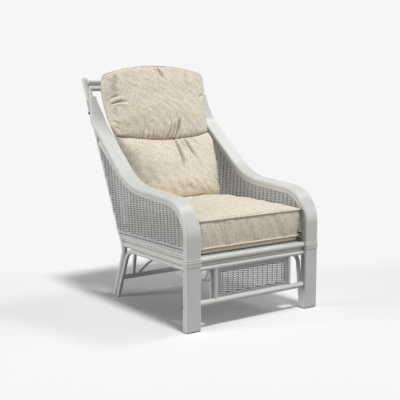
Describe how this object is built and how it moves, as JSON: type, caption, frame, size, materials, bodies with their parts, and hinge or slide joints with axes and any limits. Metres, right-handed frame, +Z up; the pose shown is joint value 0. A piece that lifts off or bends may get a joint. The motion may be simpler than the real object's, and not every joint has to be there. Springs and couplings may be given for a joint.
{
  "type": "cane armchair",
  "caption": "High-back armchair of painted cane with swept flat arms, woven side and front panels, raked back and loose boxed seat and headrest back cushions.",
  "frame": {"origin": "middle of the bounding box on the floor plane", "axes": "+X to the right-hand side as seen from in front, +Y from the front legs to the back, +Z up"},
  "size_m": [0.7058, 0.861, 1.0463],
  "materials": {
    "painted_cane": "satin light grey paint over bent cane",
    "painted_wicker": "satin light grey paint over woven core",
    "tweed_fabric": "oatmeal tweed, matt",
    "glide_plastic": "matt"
  },
  "bodies": {
    "chair_frame": {"arm_slab_left": "painted_cane", "arm_pole_outer_left": "painted_cane", "arm_pole_inner_left": "painted_cane", "back_pole_left": "painted_cane", "front_pole_left": "painted_cane", "leg_arch_left": "painted_cane", "side_rail_left": "painted_cane", "side_strip_left": "painted_cane", "panel_rail_left": "painted_cane", "side_panel_left": "painted_wicker", "side_braid_left": "painted_wicker", "front_brace_left": "painted_cane", "panel_post_left": "painted_cane", "panel_back_post_left": "painted_cane", "rear_post_left": "painted_cane", "tip_binding_left": "painted_cane", "leg_band_left": "painted_cane", "glide_front_left": "glide_plastic", "glide_rear_left": "glide_plastic", "arm_slab_right": "painted_cane", "arm_pole_outer_right": "painted_cane", "arm_pole_inner_right": "painted_cane", "back_pole_right": "painted_cane", "front_pole_right": "painted_cane", "leg_arch_right": "painted_cane", "side_rail_right": "painted_cane", "side_strip_right": "painted_cane", "panel_rail_right": "painted_cane", "side_panel_right": "painted_wicker", "side_braid_right": "painted_wicker", "front_brace_right": "painted_cane", "panel_post_right": "painted_cane", "panel_back_post_right": "painted_cane", "rear_post_right": "painted_cane", "tip_binding_right": "painted_cane", "leg_band_right": "painted_cane", "glide_front_right": "glide_plastic", "glide_rear_right": "glide_plastic", "front_top_rail": "painted_cane", "front_strip": "painted_cane", "front_second_rail": "painted_cane", "front_stretcher": "painted_cane", "front_border": "painted_cane", "front_weave": "painted_wicker", "rear_rail": "painted_cane", "rear_stretcher": "painted_cane", "rear_arch": "painted_cane", "crest_rail_upper": "painted_cane", "crest_strip": "painted_cane", "crest_rail_lower": "painted_cane", "back_rail_lower": "painted_cane", "back_spindle_1": "painted_cane", "back_spindle_2": "painted_cane", "back_spindle_3": "painted_cane", "back_spindle_4": "painted_cane", "back_spindle_5": "painted_cane", "seat_deck": "painted_cane"},
    "seat_cushion_body": {"seat_cushion": "tweed_fabric"},
    "back_cushion_body": {"back_cushion": "tweed_fabric"}
  },
  "joints": [
    {"name": "seat_cushion_lift_out", "type": "slide", "parent": "chair_frame", "child": "seat_cushion_body", "axis": [0, -1, 0], "range_m": [0, 0.62]},
    {"name": "back_cushion_lift_out", "type": "slide", "parent": "chair_frame", "child": "back_cushion_body", "axis": [0, 0.3322, 0.9432], "range_m": [0, 0.72]}
  ]
}
